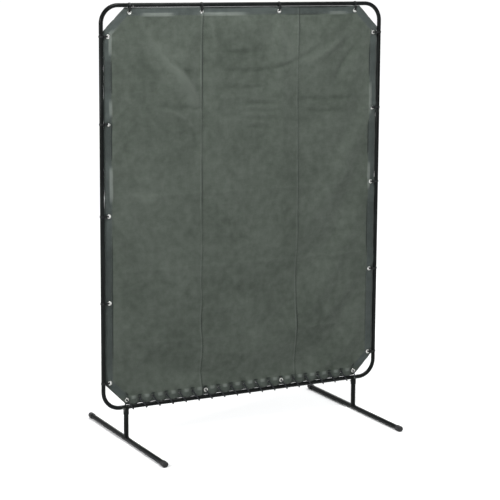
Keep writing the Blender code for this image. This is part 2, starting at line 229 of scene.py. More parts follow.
class Material:
    """A material with helpers that add nodes and link them."""

    def __init__(self, name):
        self.material = bpy.data.materials.new(name)
        self.material.use_nodes = True
        self.tree = self.material.node_tree
        self.shader = self.tree.nodes["Principled BSDF"]

    def set(self, **values):
        for name, value in values.items():
            self.shader.inputs[name.replace("_", " ")].default_value = value

    def node(self, kind, inputs=(), **settings):
        made = self.tree.nodes.new("ShaderNode" + kind)
        for name, value in settings.items():
            setattr(made, name, value)
        for key, value in dict(inputs).items():
            if isinstance(value, bpy.types.NodeSocket):
                self.tree.links.new(value, made.inputs[key])
            else:
                made.inputs[key].default_value = value
        return made

    def math(self, operation, *values):
        return self.node("Math", dict(enumerate(values)), operation=operation).outputs[0]

    def times(self, first, second):
        return self.math("MULTIPLY", first, second)

    def plus(self, *values):
        total = values[0]
        for value in values[1:]:
            total = self.math("ADD", total, value)
        return total

    def ramp(self, value, low, high, to_low=0.0, to_high=1.0):
        """value mapped from low..high to to_low..to_high, smoothly and no further."""
        inputs = {"Value": value, "From Min": low, "From Max": high, "To Min": to_low, "To Max": to_high}
        return self.node("MapRange", inputs, interpolation_type="SMOOTHSTEP").outputs[0]

    def stripe(self, value, centre, inner, outer, strength):
        """strength within inner of the value's centre, falling to 0 at outer."""
        away = self.math("ABSOLUTE", self.math("SUBTRACT", value, centre))
        return self.ramp(away, inner, outer, strength, 0.0)

    def mix(self, share, first, second):
        made = self.node("Mix", data_type="RGBA")
        for socket, value in ((made.inputs[0], share), (made.inputs[6], first), (made.inputs[7], second)):
            if isinstance(value, bpy.types.NodeSocket):
                self.tree.links.new(value, socket)
            else:
                socket.default_value = value if socket.type == "VALUE" else (*value, 1.0)
        return made.outputs[2]

    def scaled(self, vector, across, along, up):
        return self.node("Mapping", {"Vector": vector, "Scale": (across, along, up)}).outputs[0]

    def noise(self, vector, scale, detail=3.0, roughness=0.5):
        inputs = {"Vector": vector, "Scale": scale, "Detail": detail, "Roughness": roughness}
        return self.node("TexNoise", inputs).outputs[0]

    def object_place(self):
        return self.node("TexCoord").outputs["Object"]

    def flat_place(self):
        """The place in the piece's flat map, whole and as its separate parts."""
        place = self.node("UVMap", uv_map="flat").outputs[0]
        return place, self.node("SeparateXYZ", {"Vector": place}).outputs

    def mark(self, name):
        """A measure that the piece's mesh holds at each point."""
        return self.node("Attribute", attribute_name=name).outputs["Fac"]

    def link(self, socket, name):
        self.tree.links.new(socket, self.shader.inputs[name])

    def bump(self, height, strength, distance):
        inputs = {"Height": height, "Strength": strength, "Distance": distance}
        self.link(self.node("Bump", inputs).outputs[0], "Normal")


def black_paint():
    """Semi-gloss enamel on steel tube: faint orange peel, dust, and rubbed spots down to grey metal."""
    made = Material("black_enamel")
    place = made.object_place()
    cloud = made.noise(place, 9.0, 4.0)
    rub = made.noise(made.scaled(place, 1.0, 1.0, 0.35), 60.0, 6.0, 0.62)
    worn = made.ramp(made.times(rub, made.ramp(cloud, 0.45, 0.75, 0.7, 1.12)), 0.63, 0.67)
    enamel = made.mix(made.ramp(cloud, 0.35, 0.7), (0.0030, 0.0036, 0.0035), (0.0065, 0.0080, 0.0075))
    made.link(made.mix(worn, enamel, (0.16, 0.16, 0.155)), "Base Color")
    dust = made.ramp(made.noise(place, 140.0, 5.0, 0.6), 0.3, 0.7, 0.30, 0.44)
    made.link(made.plus(dust, made.times(worn, 0.12)), "Roughness")
    made.set(Specular_IOR_Level=0.08)
    made.bump(made.noise(place, 420.0, 2.0), 0.12, 0.0004)
    return made.material


def speckled(name, tone, spread, colours, gloss, roughness, grain, bump, **settings):
    """A plain finish. tone, gloss and grain are noises, as (scale, detail and so on), that set its
    colour, its roughness and its bump; spread is the part of tone that the colours are spread over."""
    made = Material(name)
    place = made.object_place()
    share = made.noise(place, *tone)
    if spread:
        share = made.ramp(share, *spread)
    made.link(made.mix(share, *colours), "Base Color")
    made.link(made.ramp(made.noise(place, *gloss), 0.3, 0.7, *roughness), "Roughness")
    made.set(**settings)
    made.bump(made.noise(place, *grain), bump, 0.0002)
    return made.material


def zinc():
    colours = (0.42, 0.42, 0.40), (0.60, 0.60, 0.57)
    spangle = (260.0, 3.0)
    return speckled("zinc_plate", spangle, None, colours, spangle, (0.28, 0.45),
                    (900.0, 3.0), 0.15, Metallic=1.0)


def rubber():
    """Moulded foot caps, greyed and scuffed a little in scattered patches."""
    colours = (0.010, 0.010, 0.0105), (0.034, 0.034, 0.033)
    return speckled("moulded_rubber", (75.0, 6.0, 0.65), (0.52, 0.72), colours, (300.0,), (0.62, 0.82),
                    (1500.0, 2.0), 0.2)


def nickel():
    colours = (0.62, 0.63, 0.60), (0.42, 0.42, 0.39)
    return speckled("nickel_plate", (120.0, 4.0), (0.4, 0.7), colours, (500.0, 4.0), (0.22, 0.42),
                    (1400.0, 2.0), 0.1, Metallic=1.0)


def nylon():
    colours = (0.005, 0.006, 0.006), (0.012, 0.013, 0.013)
    haze = (90.0, 3.0)
    return speckled("nylon", haze, None, colours, haze, (0.36, 0.52),
                    (700.0, 2.0), 0.1, Specular_IOR_Level=0.2)


def rope():
    """Laid cord. Its strands are in the mesh, and their yarns are here, read from the map along the cord."""
    made = Material("laid_cord")
    parts = made.flat_place()[1]
    yarn = made.math("SINE", made.plus(made.times(parts[0], 2600.0), made.times(parts[1], 60.0)))
    fuzz = made.noise(made.object_place(), 900.0, 4.0, 0.7)
    tone = made.plus(made.times(yarn, 0.22), fuzz)
    colours = (0.009, 0.010, 0.012), (0.030, 0.033, 0.036)
    made.link(made.mix(made.ramp(tone, 0.2, 0.9), *colours), "Base Color")
    made.set(Roughness=0.85, Sheen_Weight=0.04, Specular_IOR_Level=0.2)
    made.bump(tone, 0.5, 0.0004)
    return made.material


def thread():
    made = Material("sewing_thread")
    twist = made.noise(made.object_place(), 1600.0, 3.0, 0.6)
    made.link(made.mix(twist, (0.030, 0.037, 0.031), (0.066, 0.077, 0.065)), "Base Color")
    made.set(Roughness=0.7, Sheen_Weight=0.1)
    made.bump(twist, 0.4, 0.0003)
    return made.material


def canvas():
    """Duck canvas: crossed yarns with slubs, mottled tone, a darker doubled hem, painted highlights on raised
    pleats and painted shade in hollow ones, creases painted lighter where raised and darker where hollow, and
    seams with a painted highlight beside a painted shadow.
    """
    made = Material("duck_canvas")
    place, (across, up, _) = made.flat_place()
    edge, pleat, seam, crease = (made.mark(name) for name in ("edge", "pleat", "seam", "crease"))

    # Yarns, and the slubs along them
    yarn = 2 * pi / YARN_PITCH
    warp, weft = (made.math("SINE", made.times(way, yarn)) for way in (across, up))
    over = made.times(*(made.math("SINE", made.times(way, yarn / 2)) for way in (across, up)))
    weave = made.plus(made.times(warp, 0.3), made.times(weft, 0.3), made.times(over, 0.5))
    slub = made.plus(made.noise(made.scaled(place, 900.0, 22.0, 1.0), 1.0, 2.0),
                     made.noise(made.scaled(place, 22.0, 900.0, 1.0), 1.0, 2.0))

    # Tone of the single cloth and of the hem; the crease term is painted light and shade: raised creases
    # lighter, hollow ones darker
    mottle = made.noise(place, 26.0, 7.0, 0.62)
    cloud = made.noise(place, 3.2, 4.0, 0.5)
    tone = made.plus(made.times(mottle, 0.62), made.times(cloud, 0.55), made.times(slub, 0.16),
                     made.times(crease, 0.20))
    spread = made.ramp(tone, 0.45, 1.05)
    cloth = made.mix(spread, *SINGLE_CLOTH)
    hem = made.mix(spread, *DOUBLED_CLOTH)
    in_hem = made.ramp(edge, HEM_WIDTH - 0.0006, HEM_WIDTH + 0.0006, 1.0, 0.0)
    laced = made.ramp(up, CURTAIN_LOW.z + HEM_WIDTH, CURTAIN_LOW.z + 1.5 * HEM_WIDTH, 0.35, 1.0)
    cloth = made.mix(made.times(in_hem, laced), cloth, hem)

    # Hollow pleats get painted shade, and the raised ones a painted highlight along the hem's fold
    line = made.stripe(edge, HEM_WIDTH + 0.001, 0.0015, 0.0060, 1.0)
    shaded = made.math("MAXIMUM", line, made.times(in_hem, 0.40))
    cloth = made.mix(made.times(shaded, made.ramp(pleat, -0.9, -0.1, 0.85, 0.0)), cloth, PAINTED_HOLLOW_SHADE)
    fold = made.stripe(edge, HEM_WIDTH - 0.004, 0.003, 0.011, 0.85)
    fold = made.times(fold, made.ramp(tone, 0.5, 0.9, 0.7, 1.0))
    cloth = made.mix(made.times(fold, made.ramp(pleat, 0.1, 0.9)), cloth, PAINTED_FOLD_HIGHLIGHT)

    # Each seam shows a painted highlight on its lap beside a painted shadow in its groove, stronger in some
    # stretches
    shown = made.ramp(made.noise(place, 2.3, 2.0), 0.35, 0.62, 0.25, 1.0)
    lap = made.stripe(seam, -0.0055, 0.0012, 0.0050, 0.34)
    cloth = made.mix(made.times(lap, shown), cloth, SEAM_LAP_HIGHLIGHT)
    groove = made.stripe(seam, 0.0028, 0.0016, 0.0046, 0.85)
    cloth = made.mix(made.times(groove, shown), cloth, SEAM_GROOVE_SHADE)

    made.link(cloth, "Base Color")
    made.link(made.ramp(tone, 0.4, 1.1, 0.93, 0.80), "Roughness")
    made.set(Sheen_Weight=0.06, Specular_IOR_Level=0.22)
    wrinkle = made.noise(made.scaled(place, 9.0, 42.0, 1.0), 1.0, 4.0, 0.55)
    height = made.plus(made.times(weave, 0.25), made.times(slub, 0.5), made.times(wrinkle, 3.0),
                       made.times(mottle, 2.2))
    made.bump(height, 0.6, 0.0009)
    return made.material


# Mesh helpers


def piece(name, mesh, finish, body, *replaced, slot=None):
    """Links the mesh as a piece that rides on the body and stands for the nodes replaced."""
    mesh.materials.clear()
    mesh.materials.append(finish)
    made = bpy.data.objects.new(name, mesh)
    bpy.context.scene.collection.objects.link(made)
    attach(made, body)
    if replaced:
        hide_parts(*replaced)
    return made


def add_flat_map(mesh, place_of):
    """Adds the UV map that the materials read, from place_of(vertex number of each face corner)."""
    corners = np.empty(len(mesh.loops), np.int32)
    mesh.loops.foreach_get("vertex_index", corners)
    layer = mesh.uv_layers.new(name="flat")
    layer.data.foreach_set("uv", place_of(corners).astype(np.float32).ravel())


def faced_out(mesh):
    """The mesh with each closed shell's faces pointing out, shaded smooth."""
    bm = bmesh.new()
    bm.from_mesh(mesh)
    bmesh.ops.recalc_face_normals(bm, faces=bm.faces)
    bm.to_mesh(mesh)
    bm.free()
    mesh.shade_smooth()
    return mesh


def mesh_from(name, bm, place=None):
    if place is not None:
        bmesh.ops.transform(bm, matrix=place, verts=bm.verts)
    bmesh.ops.recalc_face_normals(bm, faces=bm.faces)
    mesh = bpy.data.meshes.new(name)
    bm.to_mesh(mesh)
    bm.free()
    mesh.shade_smooth()
    mesh.set_sharp_from_angle(angle=SHARP)
    return mesh


def lattice(bm, rows, close_rows=False):
    """Quads over rows of points, each a closed ring. The rows close too, or else both ends are filled."""
    rings = [[bm.verts.new(point) for point in row] for row in rows]
    count = len(rings[0])
    for here, there in zip(rings, rings[1:] + rings[:1] if close_rows else rings[1:]):
        for step in range(count):
            after = (step + 1) % count
            bm.faces.new((here[step], here[after], there[after], there[step]))
    if not close_rows:
        bm.faces.new(rings[0])
        bm.faces.new(rings[-1])


def circle(count=ROUND):
    return [(cos(2 * pi * step / count), sin(2 * pi * step / count)) for step in range(count)]


def turned(profile, segments=ROUND):
    """A solid turned about local Z from (radius, height) points, closed, or from axis to axis."""
    bm = bmesh.new()
    points = [bm.verts.new((radius, 0.0, height)) for radius, height in profile]
    closed = all(radius > 0 for radius, _ in profile)
    ends = points[1:] + points[:1] if closed else points[1:]
    edges = [bm.edges.new(pair) for pair in zip(points, ends)]
    bmesh.ops.spin(bm, geom=points + edges, cent=(0, 0, 0), axis=(0, 0, 1), angle=2 * pi,
                   steps=segments, use_merge=True)
    bmesh.ops.remove_doubles(bm, verts=bm.verts, dist=0.00001)
    return bm


def transported(path, first_normal):
    """(point, normal, binormal) along the path, with no more twist than its turns need."""
    frames = []
    normal = Vector(first_normal)
    for index, point in enumerate(path):
        before, after = path[max(index - 1, 0)], path[min(index + 1, len(path) - 1)]
        along = (after - before).normalized()
        normal = (normal - along * normal.dot(along)).normalized()
        frames.append((point, normal.copy(), along.cross(normal)))
    return frames


def swept(path, section, first_normal):
    """A bmesh of the section carried along the path: section(index) gives its (u, v) points."""
    bm = bmesh.new()
    rows = []
    for index, (point, normal, binormal) in enumerate(transported(path, first_normal)):
        rows.append([point + normal * u + binormal * v for u, v in section(index)])
    lattice(bm, rows)
    return bm


def travelled(path):
    """How far along the path each of its points lies."""
    return np.cumsum([0.0] + [(there - here).length for here, there in zip(path, path[1:])])


def catmull_rom(a, b, c, d, t):
    return 0.5 * (2 * b + (c - a) * t + (2 * a - 5 * b + 4 * c - d) * t ** 2
                  + (3 * b - a - 3 * c + d) * t ** 3)


def at(x, y, z, turn_x=0.0, turn_y=0.0, turn_z=0.0):
    place = Matrix.Translation((x, y, z))
    for angle, axis in ((turn_z, "Z"), (turn_y, "Y"), (turn_x, "X")):
        place @= Matrix.Rotation(angle, 4, axis)
    return place


def smooth_curve(points, spacing):
    """Points about spacing apart on a Catmull-Rom curve through the given ones."""
    padded = [points[0] * 2 - points[1]] + list(points) + [points[-1] * 2 - points[-2]]
    made = []
    for a, b, c, d in zip(padded, padded[1:], padded[2:], padded[3:]):
        steps = max(1, ceil((c - b).length / spacing))
        made += [catmull_rom(a, b, c, d, step / steps) for step in range(steps)]
    return made + [points[-1]]


def resampled(points, spacing):
    """Points about spacing apart on the straight lines between the given ones."""
    made = [points[0]]
    for here, there in zip(points, points[1:]):
        steps = max(1, round((there - here).length / spacing))
        made += [here.lerp(there, step / steps) for step in range(1, steps + 1)]
    return made


# Frame


def straight_tube(length, place):
    """Along local Z, with a rounded shoulder and a swaged end at both ends."""
    bore = TUBE_R - TUBE_WALL
    shoulder, tip = length / 2, length / 2 + SPIGOT_LENGTH
    spigot = bore - FIT
    outside = [(spigot - CHAMFER, -tip), (spigot, -tip + CHAMFER), (spigot, -shoulder)]
    outside += [(TUBE_R - 2 * CHAMFER, -shoulder), (TUBE_R - CHAMFER, -shoulder + CHAMFER / 3)]
    outside += [(TUBE_R, -shoulder + 2 * CHAMFER)]
    throat, step_in = spigot - TUBE_WALL, TUBE_WALL - shoulder
    inside = [(throat, -tip), (throat, step_in), (bore, step_in)]
    outside += [(radius, -height) for radius, height in reversed(outside)]
    inside += [(radius, -height) for radius, height in reversed(inside)]
    return mesh_from("tube", turned(outside + inside[::-1]), place)


def corner_bend(place):
    """The top left bend about its centre, hollow, with rounded mouths."""
    arc = CORNER_RADIUS * pi / 2
    full = arc + 2 * CORNER_LEG

    def spot(travel):
        """Centre line point and its outward normal, travel metres in from the mouth on the top."""
        if travel < CORNER_LEG:
            return Vector((CORNER_LEG - travel, 0, CORNER_RADIUS)), Vector((0, 0, 1))
        if travel > CORNER_LEG + arc:
            return Vector((-CORNER_RADIUS, 0, CORNER_LEG + arc - travel)), Vector((-1, 0, 0))
        angle = (travel - CORNER_LEG) / CORNER_RADIUS
        out = Vector((-sin(angle), 0, cos(angle)))
        return out * CORNER_RADIUS, out

    steps = [CORNER_LEG + arc * step / BEND_STEPS for step in range(BEND_STEPS + 1)]
    bore = TUBE_R - TUBE_WALL
    stations = [(bore, 0.0), (TUBE_R - 2 * CHAMFER, 0.0), (TUBE_R - CHAMFER, CHAMFER / 3)]
    stations += [(TUBE_R, 2 * CHAMFER)] + [(TUBE_R, travel) for travel in steps]
    stations += [(TUBE_R, full - 2 * CHAMFER), (TUBE_R - CHAMFER, full - CHAMFER / 3)]
    stations += [(TUBE_R - 2 * CHAMFER, full), (bore, full)]
    stations += [(bore, travel) for travel in reversed(steps)]
    rows = []
    for radius, travel in stations:
        centre, out = spot(travel)
        rows.append([centre + out * radius * c + Vector((0, radius * s, 0)) for c, s in circle()])
    bm = bmesh.new()
    lattice(bm, rows, close_rows=True)
    return mesh_from("bend", bm, place)


def frame_tubes(paint):
    reach = 2 * (CORNER_RADIUS + CORNER_LEG + FIT)
    across, upright = 2 * HALF_WIDTH - reach, TOP_Z - RAIL_Z - reach
    for node, z in (("top_rail", TOP_Z), ("bottom_rail", RAIL_Z)):
        piece(node + "_tube", straight_tube(across, at(0, 0, z, turn_y=pi / 2)), paint, "frame", node)
    for side, sign in SIDES.items():
        place = at(sign * HALF_WIDTH, 0, (RAIL_Z + TOP_Z) / 2)
        piece(side + "_upright", straight_tube(upright, place), paint, "frame", side + "_side_tube")
    x, low, high = HALF_WIDTH - CORNER_RADIUS, RAIL_Z + CORNER_RADIUS, TOP_Z - CORNER_RADIUS
    corners = {"top_left": at(-x, 0, high), "top_right": at(x, 0, high, turn_y=pi / 2),
               "bottom_right": at(x, 0, low, turn_y=pi), "bottom_left": at(-x, 0, low, turn_y=-pi / 2)}
    for corner, place in corners.items():
        piece("bend_" + corner, corner_bend(place), paint, "frame", "corner_" + corner)


# Legs


def weld_bead(points, radius, closed):
    """A bead of overlapping ripples along the points, tapered at its ends unless it is closed."""
    ripple, taper_length = 0.0024, 0.003
    points = resampled(points + points[:1] if closed else points, BEAD_STEP)
    path = points[:-1] + points[:2] if closed else points
    travel = travelled(path)
    ends = travel[-1]

    def section(index):
        swell = 1 + 0.16 * abs(sin(pi * travel[index] / ripple))
        taper = 1.0 if closed else min(1.0, 0.35 + min(travel[index], ends - travel[index]) / taper_length)
        return [(radius * swell * taper * c, radius * swell * taper * s) for c, s in circle(10)]

    return swept(path, section, (0, 0, 1))


def saddled_tube(radius, bore, low, high):
    """A sleeve about Z whose ends follow low(x, y) and high(x, y)."""
    rows = []
    for r, edge in ((radius, low), (radius, high), (bore, high), (bore, low)):
        rows.append([Vector((r * c, r * s, edge(radius * c, radius * s))) for c, s in circle()])
    bm = bmesh.new()
    lattice(bm, rows, close_rows=True)
    return bm


def foot_cap(place):
    """Slipped on along local Z, rounded at its outer end, with a bead at its mouth and a flat under it."""
    outer, bore = LEG_R + CAP_WALL, LEG_R + FIT
    end, floor = CAP_LENGTH, CAP_LENGTH - CAP_END
    rounding = [pi / 2 * step / 8 for step in range(9)]
    profile = [(0, end)]
    profile += [(outer - CAP_END * (1 - sin(angle)), end - CAP_END * (1 - cos(angle))) for angle in rounding]
    lip = 0.0005
    profile += [(outer, 0.0036), (outer - lip, 0.0030), (outer - lip, 0.0024), (outer, 0.0018)]
    profile += [(outer, lip), (outer - lip, 0), (bore, 0), (bore, floor), (0, floor)]
    bm = turned(profile)
    everything = bm.verts[:] + bm.edges[:] + bm.faces[:]
    bmesh.ops.bisect_plane(bm, geom=everything, plane_co=(0, -FOOT_Z, 0), plane_no=(0, -1, 0),
                           clear_outer=True)
    bmesh.ops.holes_fill(bm, edges=[edge for edge in bm.edges if edge.is_boundary])
    return mesh_from("cap", bm, place)


def hexagon(bore_radius, low, high, place):
    """A six-sided block along local Z, its corners and rims rounded, with a bore unless its radius is 0."""
    corner = HEX_ACROSS / 2 / cos(pi / 6) * 0.985
    ease = 0.0005
    count = 60

    def outline(inset, z):
        made = []
        for step in range(count):
            angle = 2 * pi * step / count
            flat = HEX_ACROSS / 2 / cos((angle % (pi / 3)) - pi / 6)
            reach = min(flat, corner) - inset
            made.append(Vector((reach * cos(angle), reach * sin(angle), z)))
        return made

    rims = [(ease, 0), (ease * 0.3, ease * 0.3), (0, ease)]
    rows = [outline(inset, low + up) for inset, up in rims]
    rows += [outline(inset, high - down) for inset, down in reversed(rims)]
    for z in (high, low) if bore_radius else ():
        rows.append([Vector((bore_radius * c, bore_radius * s, z)) for c, s in circle(count)])
    bm = bmesh.new()
    lattice(bm, rows, close_rows=bool(bore_radius))
    return mesh_from("hexagon", bm, place)


def leg_socket(side, x, paint, steel):
    def rail_under(_, y):
        return min(-SOCKET_EAR, -((max(0.0, (TUBE_R + FIT) ** 2 - y * y)) ** 0.5))

    sleeve = saddled_tube(SOCKET_R, LEG_R + SOCKET_PLAY, lambda *_: -SOCKET_DROP, rail_under)
    piece(side + "_socket_sleeve", mesh_from("sleeve", sleeve, at(x, 0, RAIL_Z)), paint, "frame",
          side + "_leg_socket")
    span = (TUBE_R ** 2 - SOCKET_EAR ** 2) ** 0.5
    proud, wide = 0.0003, 1.01
    for end, sign in (("inner", -1), ("outer", 1)):
        points = []
        for step in range(31):
            y = span * (2 * step / 30 - 1)
            out = (SOCKET_R ** 2 - y * y) ** 0.5 + proud
            points.append(Vector((x + sign * out, y * wide, RAIL_Z - (TUBE_R ** 2 - y * y) ** 0.5)))
        bead = weld_bead(points, SOCKET_BEAD_R, False)
        piece(f"{side}_socket_weld_{end}", mesh_from("bead", bead), paint, "frame", slot="black_paint")
    behind = at(x, 0, RAIL_Z - SCREW_DROP, turn_x=-pi / 2)
    nut_face = SOCKET_R + 2 * FIT
    nut = hexagon(SCREW_OD / 2 + FIT, nut_face, nut_face + NUT_THICKNESS, behind)
    piece(side + "_nut", nut, paint, "frame", side + "_socket_nut")
    seat = nut_face + NUT_THICKNESS + FIT
    bm = bmesh.new()
    bm.from_mesh(hexagon(0, seat, seat + HEAD_THICKNESS, behind))
    shank = mesh_from("shank", turned([(0, LEG_R + FIT), (SCREW_OD / 2, LEG_R + FIT + CHAMFER),
                                       (SCREW_OD / 2, seat), (0, seat)], 24), behind)
    bm.from_mesh(shank)
    piece(side + "_screw", mesh_from("screw", bm), steel, "frame", side + "_clamp_screw")


def leg(side, x, paint, black):
    body = side + "_leg"

    def foot_under(across, _):
        return max(0.0, (LEG_R + FIT) ** 2 - across * across) ** 0.5

    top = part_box(side + "_leg_riser")[1].z - FOOT_Z
    riser = saddled_tube(LEG_R, LEG_R - LEG_WALL, foot_under, lambda *_: top)
    piece(side + "_riser", mesh_from("riser", riser, at(x, 0, FOOT_Z)), paint, body, side + "_leg_riser")
    seam = []
    proud, narrow, wide = 0.0004, 0.93, 1.03
    out = LEG_R + proud
    for c, s in circle(120):
        up = LEG_R * (1 - (narrow * c) ** 2) ** 0.5
        seam.append(Vector((x + out * c * narrow, out * s * wide, FOOT_Z + up)))
    bead = weld_bead(seam, RISER_BEAD_R, True)
    piece(side + "_riser_weld", mesh_from("bead", bead), paint, body, slot="black_paint")
    half = extent(side + "_foot_tube").y / 2
    bore = LEG_R - LEG_WALL
    tube = turned([(LEG_R - CHAMFER, -half), (LEG_R, CHAMFER - half), (LEG_R, half - CHAMFER),
                   (LEG_R - CHAMFER, half), (bore, half), (bore, -half)])
    foot = mesh_from("foot", tube, at(x, 0, FOOT_Z, turn_x=pi / 2))
    piece(side + "_foot", foot, paint, body, side + "_foot_tube")
    for end, sign in (("front", -1), ("rear", 1)):
        low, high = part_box(f"{side}_{end}_foot_cap")
        mouth = high.y if sign < 0 else low.y
        place = at(x, mouth, FOOT_Z, turn_x=pi / 2, turn_z=0 if sign < 0 else pi)
        piece(f"{side}_{end}_cap", foot_cap(place), black, body, f"{side}_{end}_foot_cap")


# Curtain


def grid_lines(low, high, cells):
    """Even steps along each clipped corner's leg, and nearly the same step between them."""
    step = CORNER_CUT / cells
    between = round((high - low - 2 * CORNER_CUT) / step)
    parts = [np.linspace(low, low + CORNER_CUT, cells, endpoint=False),
             np.linspace(low + CORNER_CUT, high - CORNER_CUT, between, endpoint=False),
             np.linspace(high - CORNER_CUT, high, cells + 1)]
    return np.concatenate(parts)


def edge_distance(x, z):
    """How far in from the curtain's clipped outline each flat place lies."""
    sides = np.minimum(x - CURTAIN_LOW.x, CURTAIN_HIGH.x - x)
    ends = np.minimum(z - CURTAIN_LOW.z, CURTAIN_HIGH.z - z)
    corner = (sides + ends - CORNER_CUT) / 2 ** 0.5
    return np.minimum(np.minimum(sides, ends), corner)


def bell(off, width):
    """1 at 0, falling to 1/e at the width on either side."""
    return np.exp(-(off / width) ** 2)


def within(off, reach, blur):
    """1 nearer than the reach and 0 past it, blurred."""
    return 1 / (1 + np.exp((off - reach) / blur))


def laced_holes():
    """x of every hole that the lacing passes through."""
    end = RISER_X - LACING_CLEAR
    return [-end + 2 * end * hole / LACING_TURNS for hole in range(LACING_TURNS + 1)]


def grommet_nodes(edge):
    return [name for name in sorted(NODES) if name.startswith("grommet_" + edge)]


def plain_holes():
    """(x, z) of the lacing's holes that have no grommet."""
    return [(x, RAIL_Z + GROMMET_SET) for index, x in enumerate(laced_holes()) if index % GROMMET_EVERY]


def hole_places():
    """(x, z) of every hole in the curtain."""
    return [(middle(node).x, middle(node).z) for node in grommet_nodes("")] + plain_holes()


def is_laced(z):
    """Whether a hole at this height is one of the bottom edge's."""
    return z < RAIL_Z + 2 * GROMMET_SET


def cloth_faces(columns, rows, cells, holes=()):
    """Quads and corner triangles of the clipped grid, as vertex numbers, without those that meet a hole."""
    faces = []
    last_column, last_row = columns - 2, rows - 2
    for i in range(columns - 1):
        for j in range(rows - 1):
            quad = [i * rows + j, (i + 1) * rows + j, (i + 1) * rows + j + 1, i * rows + j + 1]
            if holes and holes.intersection(quad):
                continue
            across, up = min(i, last_column - i), min(j, last_row - j)
            if across + up < cells - 1:
                continue
            if across + up == cells - 1:
                right, upper = i >= last_column / 2, j > last_row / 2
                quad.pop((0, 3, 1, 2)[2 * right + upper])
            faces.append(quad)
    return faces


def draped(faces, places, pins):
    """The grid's places after the canvas, a little slack, has hung from its ties under its own weight."""
    mesh = bpy.data.meshes.new("drape")
    mesh.from_pydata(places.tolist(), [], faces)
    cloth = bpy.data.objects.new("drape", mesh)
    bpy.context.scene.collection.objects.link(cloth)
    cloth.vertex_groups.new(name="pins").add(pins, 1.0, "REPLACE")
    settings = cloth.modifiers.new("cloth", "CLOTH").settings
    settings.quality = 6
    settings.mass = 0.12
    settings.tension_stiffness = settings.compression_stiffness = 60
    settings.shear_stiffness = 25
    settings.bending_stiffness = 6
    settings.air_damping = 4
    settings.vertex_group_mass = "pins"
    settings.shrink_min = -0.006
    scene = bpy.context.scene
    for step in range(DRAPE_FRAMES):
        scene.frame_set(step + 1)
    hung = cloth.evaluated_get(bpy.context.evaluated_depsgraph_get()).to_mesh()
    made = np.empty(len(places) * 3, np.float32)
    hung.vertices.foreach_get("co", made)
    scene.frame_set(1)
    bpy.data.objects.remove(cloth)
    return made.reshape(-1, 3).astype(float)


def cubic(values, places):
    """Rows of values read at fractional row numbers, along a Catmull-Rom curve."""
    base = np.clip(np.floor(places).astype(int), 0, len(values) - 2)
    t = (places - base).reshape(-1, *[1] * (values.ndim - 1))
    return catmull_rom(*(values[np.clip(base + step, 0, len(values) - 1)] for step in (-1, 0, 1, 2)), t)


def hang(fine_x, fine_z):
    """How the canvas hangs: each fine grid place's shift from flat, from a coarser simulated cloth."""
    cells = CORNER_CELLS // 2
    xs = grid_lines(CURTAIN_LOW.x, CURTAIN_HIGH.x, cells)
    zs = grid_lines(CURTAIN_LOW.z, CURTAIN_HIGH.z, cells)
    flat = np.stack(np.meshgrid(xs, [0.0], zs, indexing="ij"), -1).reshape(-1, 3)
    start = flat.copy()
    for index, (x, _, z) in enumerate(flat):
        start[index, 1] = 0.004 * noise.noise((x * 3.1, 0.7, z * 2.3)) - 0.001
    pins = sorted({int(np.hypot(flat[:, 0] - x, flat[:, 2] - z).argmin()) for x, z in hole_places()})
    start[pins, 1] = 0
    inside = edge_distance(flat[:, 0], flat[:, 2]) > -1e-6
    shift = np.zeros_like(flat)
    faces = cloth_faces(len(xs), len(zs), cells)
    used = np.full(len(flat), -1)
    used[inside] = np.arange(inside.sum())
    faces = [[int(used[v]) for v in face] for face in faces]
    places = draped(faces, start[inside], [int(used[pin]) for pin in pins])
    shift[inside] = places - flat[inside]
    held = np.clip(edge_distance(flat[:, 0], flat[:, 2]) / TAUT_MARGIN, 0, 1)
    give = (held ** 2 * (3 - 2 * held))[:, None]
    shift *= TAUT + (1 - np.array(TAUT)) * give
    shift = spread_outside(shift.reshape(len(xs), len(zs), 3), inside.reshape(len(xs), len(zs)))
    by_column = cubic(shift, np.interp(fine_x, xs, np.arange(len(xs))))
    by_row = cubic(by_column.swapaxes(0, 1), np.interp(fine_z, zs, np.arange(len(zs))))
    return by_row.swapaxes(0, 1)


def spread_outside(values, known):
    """Fills places past the clipped corners from their known neighbours, a step at a time."""
    values, known = values.copy(), known.copy()
    for _ in range(3):
        total, count = np.zeros_like(values), np.zeros(known.shape)
        for axis in (0, 1):
            for step in (-1, 1):
                moved, flag = np.roll(values, step, axis), np.roll(known, step, axis)
                total += moved * flag[..., None]
                count += flag
        fill = ~known & (count > 0)
        values[fill] = total[fill] / count[fill][:, None]
        known |= fill
    return values


